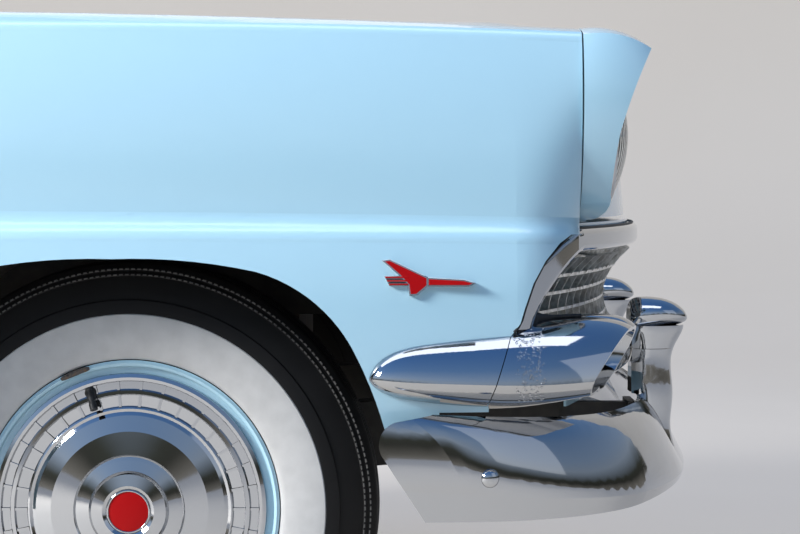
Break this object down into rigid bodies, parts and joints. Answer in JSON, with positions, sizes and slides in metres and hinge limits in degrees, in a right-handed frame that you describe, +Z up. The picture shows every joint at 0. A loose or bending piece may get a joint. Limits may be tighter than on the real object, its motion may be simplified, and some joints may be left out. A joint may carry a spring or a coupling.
{
  "type": "car front end",
  "caption": "Front end of a 1950s car: blue fenders, hooded headlamps, chrome grille, bumper with guards, and steered whitewall wheels.",
  "frame": {"origin": "on the dash panel's rear face, on the centre line, 0.7 m above the floor the tyres stand on", "axes": "+X forwards to the nose, +Y to the car's left, +Z up"},
  "size_m": [1.4608, 1.9036, 1.0719],
  "materials": {
    "body_paint": "gloss sky-blue enamel",
    "chrome": "bright plating",
    "grille_metal": "bright anodised",
    "lamp_glass": "moulded clear glass",
    "chassis_black": "satin black",
    "cast_iron": "rough cast",
    "bare_steel": "satin",
    "tyre_rubber": "black with a broad white band"
  },
  "bodies": {
    "nose": {"fender_left": "body_paint", "fender_right": "body_paint", "headlamp_door_left": "body_paint", "headlamp_door_right": "body_paint", "headlamp_rings": "chrome", "headlamp_lenses": "lamp_glass", "nose_panel": "body_paint", "grille_surround": "chrome", "grille_mesh": "grille_metal", "grille_lower_bar": "chrome", "pod_tip_left": "chrome", "pod_tip_right": "chrome", "pod_housing_left": "chrome", "pod_housing_right": "chrome", "parking_lenses": "lamp_glass", "bumper_bar": "chrome", "bumper_guards": "chrome", "guard_caps": "chrome", "bumper_irons": "chassis_black", "gravel_shield": "body_paint", "frame_stub": "chassis_black", "dash_panel": "body_paint", "radiator_support": "chassis_black", "radiator": "chassis_black", "apron_left": "chassis_black", "apron_right": "chassis_black", "engine_block": "cast_iron", "upper_arms": "chassis_black", "lower_arms": "chassis_black", "coil_springs": "chassis_black", "hood_hinge_brackets": "bare_steel"},
    "hood": {"hood": "body_paint", "hood_hinge_arms": "bare_steel"},
    "knuckle_right": {"knuckle_right": "cast_iron"},
    "knuckle_left": {"knuckle_left": "cast_iron"},
    "wheel_right": {"tyre_right": "tyre_rubber", "rim_right": "body_paint", "wheel_cover_right": "chrome", "brake_drum_right": "cast_iron"},
    "wheel_left": {"tyre_left": "tyre_rubber", "rim_left": "body_paint", "wheel_cover_left": "chrome", "brake_drum_left": "cast_iron"},
    "steering_link": {"tie_rod": "bare_steel"}
  },
  "joints": [
    {"name": "hood_hinge", "type": "hinge", "parent": "nose", "child": "hood", "pos_m": [0.1, 0, 0.304], "axis": [0, -1, 0], "range_deg": [0, 48]},
    {"name": "steer_right", "type": "hinge", "parent": "nose", "child": "knuckle_right", "pos_m": [0.6, -0.635, -0.352], "axis": [0, 0, 1], "range_deg": [-32, 32]},
    {"name": "steer_left", "type": "hinge", "parent": "nose", "child": "knuckle_left", "pos_m": [0.6, 0.635, -0.352], "axis": [0, 0, 1], "range_deg": [-32, 32]},
    {"name": "link_slide", "type": "slide", "parent": "nose", "child": "steering_link", "axis": [0, 1, 0], "range_m": [-0.074, 0.074]},
    {"name": "spin_right", "type": "hinge", "parent": "knuckle_right", "child": "wheel_right", "pos_m": [0.6, -0.7365, -0.352], "axis": [0, 1, 0], "continuous": true},
    {"name": "spin_left", "type": "hinge", "parent": "knuckle_left", "child": "wheel_left", "pos_m": [0.6, 0.7365, -0.352], "axis": [0, 1, 0], "continuous": true}
  ],
  "couplings": [
    {"joint": "steer_left", "follows": "steer_right", "ratio": 1},
    {"joint": "link_slide", "follows": "steer_right", "m_per_rad": -0.13}
  ]
}
